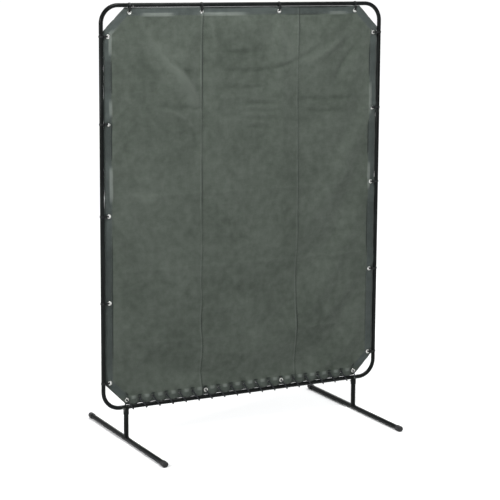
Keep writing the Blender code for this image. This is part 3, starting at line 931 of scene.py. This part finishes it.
# Creases, as (height, width, points (x, z)): raised towards the front if positive, hollow if negative
CREASES = (
    # The long pull from the upper left tie, and the hollow over it
    (0.0084, 0.020, (-0.54, 1.89), (-0.45, 1.79), (-0.39, 1.72), (-0.32, 1.64), (-0.25, 1.53),
     (-0.225, 1.38)),
    (0.0061, 0.034, (-0.41, 1.73), (-0.34, 1.66), (-0.27, 1.57), (-0.235, 1.46)),
    (-0.0057, 0.013, (-0.46, 1.80), (-0.37, 1.72), (-0.29, 1.67), (-0.22, 1.63)),
    (-0.0050, 0.030, (-0.56, 1.80), (-0.48, 1.66), (-0.42, 1.56)),
    (0.0040, 0.012, (-0.50, 1.51), (-0.38, 1.50), (-0.29, 1.45), (-0.235, 1.38), (-0.225, 1.25)),
    # Swags hung between the upper ties
    (-0.0047, 0.011, (-0.24, 1.71), (-0.12, 1.68), (0.00, 1.67), (0.15, 1.68), (0.28, 1.72), (0.47, 1.83)),
    (-0.0037, 0.010, (-0.21, 1.77), (-0.03, 1.755), (0.18, 1.765)),
    (0.0040, 0.014, (0.15, 1.92), (0.185, 1.85), (0.23, 1.77), (0.25, 1.66)),
    (-0.0037, 0.011, (0.12, 1.90), (0.155, 1.80), (0.20, 1.71)),
    (0.0037, 0.011, (-0.18, 1.91), (-0.155, 1.81), (-0.12, 1.72)),
    (-0.0040, 0.011, (-0.215, 1.92), (-0.215, 1.79), (-0.19, 1.66)),
    (0.0050, 0.016, (0.60, 1.88), (0.50, 1.80), (0.40, 1.74), (0.30, 1.69)),
    (-0.0044, 0.014, (0.62, 1.82), (0.52, 1.70), (0.46, 1.58)),
    # Short packing creases across the middle panel and the right one
    (-0.0040, 0.009, (-0.03, 1.525), (0.09, 1.52), (0.21, 1.515)),
    (-0.0034, 0.009, (-0.02, 1.49), (0.08, 1.487), (0.19, 1.48)),
    (-0.0040, 0.009, (-0.04, 1.458), (0.08, 1.452), (0.20, 1.45)),
    (-0.0034, 0.009, (0.00, 1.42), (0.10, 1.41), (0.18, 1.40)),
    (-0.0040, 0.010, (0.26, 1.535), (0.42, 1.53), (0.60, 1.535)),
    (-0.0040, 0.010, (0.26, 1.48), (0.40, 1.475), (0.57, 1.465)),
    (-0.0034, 0.010, (-0.48, 1.525), (-0.23, 1.505), (-0.06, 1.495)),
    (-0.0030, 0.010, (-0.15, 1.60), (0.02, 1.595), (0.14, 1.60)),
    # Lower folds and pulls
    (0.0030, 0.018, (-0.12, 1.39), (0.00, 1.30), (0.10, 1.22)),
    (-0.0028, 0.014, (0.20, 1.31), (0.34, 1.22), (0.54, 1.09)),
    (-0.0028, 0.022, (-0.68, 1.58), (-0.61, 1.45), (-0.59, 1.28)),
    (0.0025, 0.018, (-0.66, 1.17), (-0.52, 1.11), (-0.38, 1.09)),
    (0.0028, 0.018, (0.66, 1.13), (0.52, 1.20), (0.42, 1.30)),
    (-0.0025, 0.016, (0.66, 0.72), (0.50, 0.76), (0.34, 0.74)),
    (0.0028, 0.020, (-0.60, 0.30), (-0.48, 0.42), (-0.38, 0.58)),
    (0.0030, 0.018, (0.62, 0.30), (0.50, 0.44), (0.40, 0.62)),
    (-0.0023, 0.012, (-0.20, 0.675), (-0.02, 0.66), (0.14, 0.655)),
    (0.0023, 0.016, (0.02, 0.24), (0.06, 0.38), (0.04, 0.52)),
    (-0.0023, 0.014, (-0.62, 0.66), (-0.48, 0.72), (-0.34, 0.72)),
    (0.0021, 0.016, (0.10, 0.98), (0.02, 0.88), (-0.12, 0.84)),
)
FOLDS = (1.125, 0.787, 0.45)  # heights of the long creases left by storing it folded


def ridge(x, z, points, width):
    """1 along the smooth line through the points, falling to 0 across the width and towards both ends."""
    route = smooth_curve([Vector(point) for point in points], 0.03)
    lengths = travelled(route)
    nearest, along = np.full(x.shape, np.inf), np.zeros(x.shape)
    for a, b, start in zip(route, route[1:], lengths):
        step = b - a
        share = np.clip(((x - a.x) * step.x + (z - a.y) * step.y) / step.length_squared, 0, 1)
        away = np.hypot(x - a.x - share * step.x, z - a.y - share * step.y)
        closer = away < nearest
        nearest[closer], along[closer] = away[closer], (start + share * step.length)[closer]
    fade = np.clip(np.minimum(along, lengths[-1] - along) / (0.3 * lengths[-1]), 0, 1)
    return bell(nearest, width) * fade ** 2 * (3 - 2 * fade)


def field(x, z, scale, seed):
    """Smooth noise over the grid, from -1 to 1."""
    made = np.empty(x.shape)
    for spot in np.ndindex(x.shape):
        made[spot] = noise.noise((x[spot] * scale, seed, z[spot] * scale))
    return made


# Pleats of each edge's hem, as (centre, reach, strength): raised with a painted highlight if positive, hollow
# with painted shade if negative
PLEATS = {
    "left": ((1.80, 0.065, 0.9), (1.655, 0.10, -0.8), (1.525, 0.055, 0.8), (1.37, 0.11, -0.9),
             (1.19, 0.09, 1.0), (1.00, 0.045, 0.45), (0.66, 0.32, -0.8)),
    "right": ((1.70, 0.09, -0.9), (1.52, 0.10, 0.7), (1.34, 0.10, -0.9), (1.15, 0.07, 0.9),
              (0.90, 0.13, -0.9), (0.52, 0.20, -0.5)),
    "top": ((-0.44, 0.08, 0.9), (-0.12, 0.13, 0.8), (0.30, 0.12, -0.6), (0.48, 0.06, 0.6)),
}


def between_turns(x):
    """1 half way between two turns of the lacing, and -1 at each turn's hole."""
    pitch = 2 * (RISER_X - LACING_CLEAR) / LACING_TURNS
    return -np.cos(2 * pi * (x + RISER_X - LACING_CLEAR) / pitch)


def pleat_strength(x, z):
    """From -1 to 1 along each edge's hem."""
    edges = {"left": (x - CURTAIN_LOW.x, z), "right": (CURTAIN_HIGH.x - x, z), "top": (CURTAIN_HIGH.z - z, x)}
    made = np.zeros(x.shape)
    for edge, (off, along) in edges.items():
        for centre, reach, strength in PLEATS[edge]:
            swell = np.exp(-((along - centre) / reach) ** 4)
            made += strength * swell * (off < 3 * HEM_WIDTH)
    # Along the laced edge the hem gets a painted highlight between the lacing's turns and painted shade at
    # each hole
    low = (z - CURTAIN_LOW.z < 3 * HEM_WIDTH) & (np.abs(x) < RISER_X)
    return made + 0.95 * low * between_turns(x)


def creased(x, z):
    """The height of the creases alone."""
    out = np.zeros(x.shape)
    for height, width, *points in CREASES:
        out += height * ridge(x, z, points, width)
    for height in FOLDS:
        wander = height + 0.004 * field(x, z * 0, 3.0, height)
        out += 0.0022 * bell(z - wander, 0.008)
    return out * (1 + 0.5 * field(x, z, 12.0, 2.2))


def relief(x, z, edge, pleat):
    """The cloth's fine shape out of its hung surface, towards the front where positive."""
    # Dents of two sizes, and patches of short wrinkles across
    out = 0.0022 * field(x, z, 14.0, 3.7) + 0.0011 * field(x, z, 34.0, 8.2)
    out += 0.0026 * field(x * 0.30, z, 30.0, 6.1) * np.clip(0.55 + 0.9 * field(x, z, 4.0, 9.3), 0, 1)
    # Upright wrinkles, which die out away from the edge
    lean = 0.35 * field(x, z, 2.0, 5.5)
    out += 0.0012 * field(x * (1 + 0.02 * lean), z * 0.35, 22.0, 1.9) * np.exp(-edge / 0.25)
    # Puckers along the seams, and the pleats of the hem's fold
    for seam in SEAMS:
        out += 0.0012 * bell(x - seam, 0.02) * field(x * 0 + seam, z, 16.0, 4.4)
    out += 0.0038 * bell(edge - HEM_WIDTH, 0.009) * pleat
    # Spokes of small gathers round each hole
    for hole_x, hole_z in hole_places():
        near = np.hypot(x - hole_x, z - hole_z)
        angle = np.arctan2(z - hole_z, x - hole_x)
        spokes, height, reach = (4, 0.0012, 0.026) if is_laced(hole_z) else (5, 0.0026, 0.050)
        turn = hole_x * 7 + hole_z * 11
        fade = bell(near, reach) * np.clip(near / 0.02 - 0.5, 0, 1)
        out += height * np.cos(spokes * angle + turn) * fade
    # The laced edge stands out between the lacing's turns
    low = bell(z - CURTAIN_LOW.z - 0.012, 0.032) * (np.abs(x) < RISER_X)
    return out + 0.0055 * low * between_turns(x)


def fit_to_holes(xs, zs, flat_x, flat_z):
    """Moves the grid's places on to the rim of each hole, and gives the vertex numbers at their centres."""
    holes = set()
    for hole_x, hole_z in hole_places():
        i, j = int(np.abs(xs - hole_x).argmin()), int(np.abs(zs - hole_z).argmin())
        away = np.hypot(flat_x - xs[i], flat_z - zs[j])
        pull = np.clip(1 - away / HOLE_PULL, 0, 1) ** 2
        flat_x += (hole_x - xs[i]) * pull
        flat_z += (hole_z - zs[j]) * pull
        radius = LACED_HOLE_R if is_laced(hole_z) else TIED_HOLE_R
        for a in (-1, 0, 1):
            for b in (-1, 0, 1):
                if a or b:
                    reach = hypot(a, b)
                    flat_x[i + a, j + b] = hole_x + radius * a / reach
                    flat_z[i + a, j + b] = hole_z + radius * b / reach
        holes.add(i * len(zs) + j)
    return holes


def outward(places, low, high):
    """1 near the high edge, -1 near the low one, and 0 between."""
    return 1.0 * (high - places < CORNER_CUT / 2) - 1.0 * (places - low < CORNER_CUT / 2)


def curtain(finish, sewing):
    """The sheet's front and back, grown from its hung and creased middle surface, with its sewing."""
    xs = grid_lines(CURTAIN_LOW.x, CURTAIN_HIGH.x, CORNER_CELLS)
    zs = grid_lines(CURTAIN_LOW.z, CURTAIN_HIGH.z, CORNER_CELLS)
    hung = hang(xs, zs)
    flat_x, flat_z = np.meshgrid(xs, zs, indexing="ij")
    holes = fit_to_holes(xs, zs, flat_x, flat_z)
    edge = edge_distance(flat_x, flat_z)
    pleat = pleat_strength(flat_x, flat_z)
    seam = np.where(flat_x < sum(SEAMS) / 2, flat_x - SEAMS[0], flat_x - SEAMS[1])
    crease = creased(flat_x, flat_z)
    out = crease + relief(flat_x, flat_z, edge, pleat)
    rim = HEM_REACH * np.clip(1 - edge / 0.012, 0, 1)
    push_x = rim * outward(flat_x, CURTAIN_LOW.x, CURTAIN_HIGH.x)
    push_z = rim * outward(flat_z, CURTAIN_LOW.z, CURTAIN_HIGH.z)
    centre = hung + np.stack([flat_x + push_x, -out, flat_z + push_z], -1)
    across, up = np.gradient(centre, axis=0), np.gradient(centre, axis=1)
    facing = np.cross(up, across)
    facing /= np.linalg.norm(facing, axis=-1, keepdims=True)
    facing *= np.sign(-facing[..., 1:2])
    thick = CANVAS + (HEM_THICKNESS - CANVAS) * within(edge, HEM_WIDTH, 0.0012)
    thick += SEAM_LUMP * within(np.abs(seam), SEAM_WIDTH / 2, 0.0015)
    front = centre + facing * thick[..., None] / 2
    back = centre - facing * thick[..., None] / 2
    faces = cloth_faces(len(xs), len(zs), CORNER_CELLS, holes)
    for name, surface, sign in (("front", front, 1), ("back", back, -1)):
        read = surface_reader(xs, zs, surface, facing * sign)
        stitching("stitching_" + name, read, sewing)
        buttonholes("buttonholes_" + name, read, sewing)
    marks = {"edge": edge, "pleat": pleat, "seam": seam, "crease": crease / 0.01}
    sheet_mesh(finish, front, back, faces, flat_x, flat_z, marks)


# Sewing


def surface_reader(xs, zs, surface, facing):
    """A function that gives the cloth's place and outward normal at flat (x, z) places."""

    def read(x, z):
        i, j = np.interp(x, xs, np.arange(len(xs))), np.interp(z, zs, np.arange(len(zs)))
        a, b = np.minimum(i.astype(int), len(xs) - 2), np.minimum(j.astype(int), len(zs) - 2)
        u, v = (i - a)[:, None], (j - b)[:, None]
        made = []
        for layer in (surface, facing):
            low = layer[a, b] * (1 - u) + layer[a + 1, b] * u
            high = layer[a, b + 1] * (1 - u) + layer[a + 1, b + 1] * u
            made.append(low * (1 - v) + high * v)
        return made

    return read


def hem_line(inset):
    """The clipped outline, inset, as a closed list of (x, z) corners."""
    x0, z0 = CURTAIN_LOW.x + inset, CURTAIN_LOW.z + inset
    x1, z1 = CURTAIN_HIGH.x - inset, CURTAIN_HIGH.z - inset
    cut = CORNER_CUT - inset * (2 - 2 ** 0.5)
    return [(x0, z0 + cut), (x0, z1 - cut), (x0 + cut, z1), (x1 - cut, z1), (x1, z1 - cut), (x1, z0 + cut),
            (x1 - cut, z0), (x0 + cut, z0), (x0, z0 + cut)]


def stitching(name, read, finish):
    """Lockstitch rows, two round the hem and four down the seams. Each stitch is a raised bit of thread."""
    from_fold, from_rim, off_seam = 0.003, 0.0045, 0.0045
    rows = [hem_line(HEM_WIDTH - from_fold), hem_line(from_rim)]
    for seam in SEAMS:
        for off in (-off_seam, off_seam):
            rows.append([(seam + off, CURTAIN_LOW.z + HEM_WIDTH), (seam + off, CURTAIN_HIGH.z - HEM_WIDTH)])
    starts, ends = [], []
    for row in rows:
        for (x0, z0), (x1, z1) in zip(row, row[1:]):
            length = hypot(x1 - x0, z1 - z0)
            count = round(length / STITCH_PITCH)
            share = (np.arange(count) + 0.5) / count
            half = STITCH_LENGTH / 2 / length
            for made, places in ((starts, share - half), (ends, share + half)):
                made.append(np.stack([x0 + (x1 - x0) * places, z0 + (z1 - z0) * places], -1))
    start, end = np.concatenate(starts), np.concatenate(ends)
    rings = []
    for along, rise in ((0.0, -0.0002), (0.22, 0.00035), (0.78, 0.00035), (1.0, -0.0002)):
        flat = start + (end - start) * along
        place, out = read(flat[:, 0], flat[:, 1])
        rings.append(place + out * rise)
    direction = rings[-1] - rings[0]
    direction /= np.linalg.norm(direction, axis=1, keepdims=True)
    side = np.cross(direction, out)
    points = []
    for ring in rings:
        for u, v in ((1, 0), (0, 1), (-1, 0), (0, -1)):
            points.append(ring + (side * u + out * v) * THREAD_R)
    points = np.stack(points, 1).reshape(-1, 3)
    one = [[0, 1, 2, 3], [15, 14, 13, 12]]
    for ring in range(3):
        for corner in range(4):
            after = (corner + 1) % 4
            one.append([4 * ring + after, 4 * ring + corner, 4 * ring + corner + 4, 4 * ring + after + 4])
    faces = (np.arange(len(start))[:, None, None] * 16 + np.array(one)[None]).reshape(-1, 4)
    return sewn_piece(name, points, faces, finish)


def buttonholes(name, read, finish):
    """A ring of close radial stitches round each plain lacing hole."""
    count, sides = 44, 5
    points, faces = [], []
    for x, z in plain_holes():
        base = len(points)
        for step in range(count):
            angle = 2 * pi * step / count
            thick = 0.0009 if step % 2 else 0.0006
            for side in range(sides):
                turn = 2 * pi * side / sides
                reach = EYELET_BORE / 2 + 0.0015 + 1.4 * thick * cos(turn)
                flat = np.array([[x + reach * cos(angle), z + reach * sin(angle)]])
                place, out = read(flat[:, 0], flat[:, 1])
                points.append(place[0] + out[0] * (thick * sin(turn) + 0.0001))
        for step in range(count):
            for side in range(sides):
                here, there = base + step * sides, base + (step + 1) % count * sides
                after = (side + 1) % sides
                faces.append([here + side, here + after, there + after, there + side])
    return sewn_piece(name, np.array(points), np.array(faces), finish)


def sewn_piece(name, points, faces, finish):
    mesh = bpy.data.meshes.new(name)
    mesh.from_pydata(points.tolist(), [], faces.tolist())
    return piece(name, faced_out(mesh), finish, "frame", slot="canvas")


def sheet_mesh(finish, front, back, faces, flat_x, flat_z, marks):
    """The curtain piece: two surfaces joined round their rims, with marks at its points and a flat map."""
    kept = np.unique(np.concatenate(faces))
    number = {v: n for n, v in enumerate(kept.tolist())}
    points = np.concatenate([front.reshape(-1, 3)[kept], back.reshape(-1, 3)[kept]])
    half = len(kept)
    front_faces = [[number[v] for v in face] for face in faces]
    sides = dict.fromkeys((a, b) for face in front_faces for a, b in zip(face, face[1:] + face[:1]))
    rim = [(a, b) for a, b in sides if (b, a) not in sides]
    made = front_faces + [[v + half for v in reversed(face)] for face in front_faces]
    made += [[b, a, a + half, b + half] for a, b in rim]
    mesh = bpy.data.meshes.new("curtain")
    mesh.from_pydata(points.tolist(), [], made)
    mesh.validate()
    for name, values in marks.items():
        layer = mesh.attributes.new(name, "FLOAT", "POINT")
        layer.data.foreach_set("value", np.tile(values.reshape(-1)[kept], 2).astype(np.float32))
    places = np.tile(np.stack([flat_x, flat_z], -1).reshape(-1, 2)[kept], (2, 1))
    add_flat_map(mesh, lambda corners: places[corners])
    cloth = piece("canvas_curtain", faced_out(mesh), finish, "frame", "curtain")


# Grommets, ties and lacing


def grommet_mesh():
    """About local Z: a rolled flange on the front, a flatter washer behind, and the bore between."""
    bore, edge = GROMMET_BORE / 2, GROMMET_OD / 2
    face = CURTAIN_THICKNESS / 2 - 0.0001
    mid, half = (bore + edge) / 2, (edge - bore) / 2
    angles = [pi * step / 10 for step in range(11)]
    front = [(mid + half * cos(angle), face + FLANGE_RISE * 1.1 * sin(angle)) for angle in angles]
    back = [(mid - half * cos(angle), -face - FLANGE_RISE * 0.75 * sin(angle)) for angle in angles]
    neck = [(bore + 0.0008, -face), (bore + 0.0008, face)]
    return turned(front + back[:-1] + [(edge, -face)] + neck, 40)


def tie_mesh():
    """A closed nylon band in the plane across the tube, with its ratchet head at the front."""
    wrap = TUBE_R + 0.0002 + TIE_THICKNESS / 2
    far = GROMMET_SET - TIE_TURN
    lean = acos((wrap - TIE_TURN) / far)

    def arc(centre, radius, first, span, steps):
        angles = [first + span * step / steps for step in range(steps + 1)]
        return [Vector((centre + radius * cos(angle), radius * sin(angle), 0)) for angle in angles]

    def between(here, there):
        return [here.lerp(there, step / 8) for step in range(1, 8)]

    route = arc(0, wrap, lean, 2 * pi - 2 * lean, 28)
    turn = arc(far, TIE_TURN, -lean, 2 * lean, 16)
    start = Vector((wrap * cos(lean), -wrap * sin(lean), 0))
    path = route + between(start, turn[0]) + turn + between(turn[-1], route[0])
    w, t, ease = TIE_WIDTH / 2, TIE_THICKNESS / 2, 0.0004
    outline = [(t, w - ease), (t - ease, w), (ease - t, w), (-t, w - ease),
               (-t, ease - w), (ease - t, -w), (t - ease, -w), (t, ease - w)]
    bm = bmesh.new()
    rows = []
    for index, point in enumerate(path):
        along = (path[(index + 1) % len(path)] - path[index - 1]).normalized()
        out = Vector((along.y, -along.x, 0))
        rows.append([point + out * u + Vector((0, 0, v)) for u, v in outline])
    lattice(bm, rows, close_rows=True)
    head = bmesh.ops.create_cube(bm, size=1.0)["verts"]
    along = (turn[0] - start).normalized()
    out = Vector((along.y, -along.x, 0))
    centre = (start + turn[0]) / 2 + out * (TIE_HEAD[2] / 2 - TIE_THICKNESS / 2)
    place = Matrix((along, out, Vector((0, 0, 1)))).transposed().to_4x4()
    place = Matrix.Translation(centre) @ place @ Matrix.Diagonal((TIE_HEAD[0], TIE_HEAD[2], TIE_HEAD[1], 1))
    bmesh.ops.transform(bm, matrix=place, verts=head)
    head_edges = list({edge for vert in head for edge in vert.link_edges})
    bmesh.ops.bevel(bm, geom=head_edges, offset=0.0009, segments=3, affect="EDGES", profile=0.6)
    return bm


def fastenings(metal, plastic):
    inward = {"top": pi / 2, "left": 0.0, "right": pi}
    tubes = {"top": (0, TOP_Z), "left": (-HALF_WIDTH, 0), "right": (HALF_WIDTH, 0)}
    for edge in ("top", "bottom", "left", "right"):
        for node in grommet_nodes(edge):
            place = middle(node)
            ring = mesh_from("ring", grommet_mesh(), at(place.x, 0, place.z, turn_x=pi / 2))
            piece(node.replace("grommet", "eyelet_ring"), ring, metal, "frame", node)
            if edge in inward:
                x, z = tubes[edge]
                x, z = x or place.x, z or place.z
                tie = mesh_from("tie", tie_mesh(), at(x, 0, z, turn_y=inward[edge]))
                tie_node = node.replace("grommet", "tie")
                piece(tie_node.replace("tie", "nylon_tie"), tie, plastic, "frame", tie_node)


def one_turn():
    """One turn of the lacing as (height above the rail's centre, y): down in front, under, up behind."""
    wrap = (TUBE_R + FIT) / cos(WRAP_STEP / 2) + CORD_OD / 2
    off = CURTAIN_THICKNESS / 2 + FIT + FLANGE_RISE + CORD_OD / 2 + FIT
    lean = atan2(off, GROMMET_SET) + acos(wrap / hypot(off, GROMMET_SET))
    span = 2 * pi - 2 * lean
    steps = ceil(span / WRAP_STEP)
    angles = [lean + span * step / steps for step in range(steps + 1)]
    under = [(wrap * cos(angle), -wrap * sin(angle)) for angle in angles]
    return [(GROMMET_SET, -off)] + under + [(GROMMET_SET, off)]


def tail(x, side):
    """The cord's end, hanging from a corner grommet past the rail, on the front (-1) or the back (1)."""
    off = SOCKET_R + CORD_OD / 2 + 2 * FIT
    top = one_turn()[-1][1]
    drops = ((0.25, 0.35), (0.55, 0.9), (0.8, 1.0), (1.0, 1.0))
    return [(x, side * (top + (off - top) * out), GROMMET_SET - TAIL_LENGTH * down) for down, out in drops]


def lacing_points():
    """The cord's route: its tail behind, a turn from each hole to the next, and its tail in front."""
    holes = laced_holes()
    turn = one_turn()
    lengths = [hypot(b[0] - a[0], b[1] - a[1]) for a, b in zip(turn, turn[1:])]
    shares = [sum(lengths[:index]) / sum(lengths) for index in range(len(turn))]
    points = [(holes[0], y, z) for _, y, z in reversed(tail(holes[0], 1))]
    points.append((holes[0], turn[-1][1], GROMMET_SET))
    for here, there in zip(holes, holes[1:]):
        points += [(here + (there - here) * share, y, up) for share, (up, y) in zip(shares, turn)]
    points.append((holes[-1], turn[0][1], GROMMET_SET))
    points += tail(holes[-1], -1)
    return [Vector((x, y, RAIL_Z + up)) for x, y, up in points]


def lacing(finish, twine):
    """Three strands laid into one cord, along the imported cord's route."""
    spacing, lay, sides, radius = 0.0022, 0.017, 18, CORD_OD / 2
    path = smooth_curve(lacing_points(), spacing)
    travel = travelled(path)
    end = travel[-1]

    def section(index):
        turn = 2 * pi * travel[index] / lay
        close = min(travel[index], end - travel[index])
        size = radius * (0.93 if close > 0.0015 else 0.6)
        made = []
        for step in range(sides):
            angle = 2 * pi * step / sides
            reach = size * (0.86 + 0.14 * abs(cos(1.5 * (angle - turn))) ** 0.7)
            made.append((reach * cos(angle), reach * sin(angle)))
        return made

    mesh = mesh_from("cord", swept(path, section, (1, 0, 0)))
    mesh.set_sharp_from_angle(angle=pi)
    add_flat_map(mesh, lambda corners: np.stack([travel[corners // sides], (corners % sides) / sides], -1))
    piece("laid_lacing", mesh, finish, "frame", "lacing_cord")
    for name, ends in (("whipping_back", path[:6]), ("whipping_front", path[:-7:-1])):
        piece(name, whipping(ends[1:5]), twine, "frame", slot="dark_cord")


def whipping(route):
    """Twine wound round the cord near its end."""
    twine, step, ease = 0.0009, 0.00018, 0.0004
    fine = resampled(route, step)
    travel = travelled(fine)

    def section(index):
        swell = abs(sin(pi * travel[index] / twine))
        inset = 0.0 if 0 < index < len(fine) - 1 else ease
        radius = CORD_OD / 2 * 0.95 + 0.0003 * swell - inset
        return [(radius * c, radius * s) for c, s in circle(20)]

    return mesh_from("whipping", swept(fine, section, (1, 0, 0)))


def build():
    camera()
    studio()
    paint, steel, black = black_paint(), zinc(), rubber()
    frame_tubes(paint)
    for side, sign in SIDES.items():
        leg_socket(side, sign * RISER_X, paint, steel)
        leg(side, sign * RISER_X, paint, black)
    sewing = thread()
    curtain(canvas(), sewing)
    fastenings(nickel(), nylon())
    lacing(rope(), sewing)


build()
